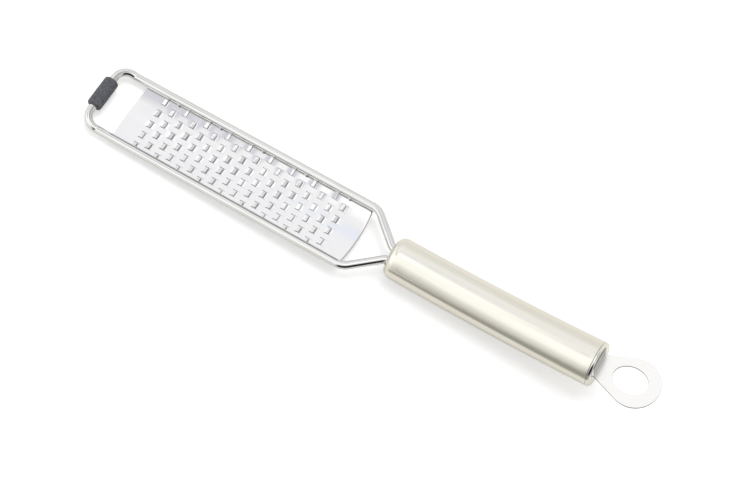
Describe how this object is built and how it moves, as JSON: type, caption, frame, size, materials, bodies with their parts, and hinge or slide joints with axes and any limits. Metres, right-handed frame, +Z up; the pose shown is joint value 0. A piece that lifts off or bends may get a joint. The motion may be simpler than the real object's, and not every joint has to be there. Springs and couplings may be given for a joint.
{
  "type": "rasp zester",
  "caption": "Hand rasp zester: a shallow trough of punched teeth under a bent wire frame, with a bowed tube handle, a rubber tip sleeve and a hanging plate.",
  "frame": {"origin": "on the table, under the middle of the tool's box as it lies on its blade and handle", "axes": "+X from the rubber tip to the hanging plate, +Y across the blade, +Z up out of the trough's hollow side"},
  "size_m": [0.3036, 0.0376, 0.0296],
  "materials": {
    "wire_steel": "mirror-polished stainless steel wire",
    "blade_steel": "bright rolled stainless steel sheet",
    "weld_steel": "small bright weld beads",
    "foot_rubber": "matte black rubber",
    "handle_steel": "stainless steel brushed along the handle",
    "plug_steel": "turned stainless steel",
    "cap_steel": "polished stainless steel",
    "plate_steel": "satin stainless steel sheet"
  },
  "bodies": {
    "root": {"wire_frame": "wire_steel", "grating_blade": "blade_steel", "weld_tacks": "weld_steel", "rubber_foot": "foot_rubber", "handle_tube": "handle_steel", "mouth_plug": "plug_steel", "end_cap": "cap_steel", "hanging_plate": "plate_steel"}
  },
  "joints": []
}
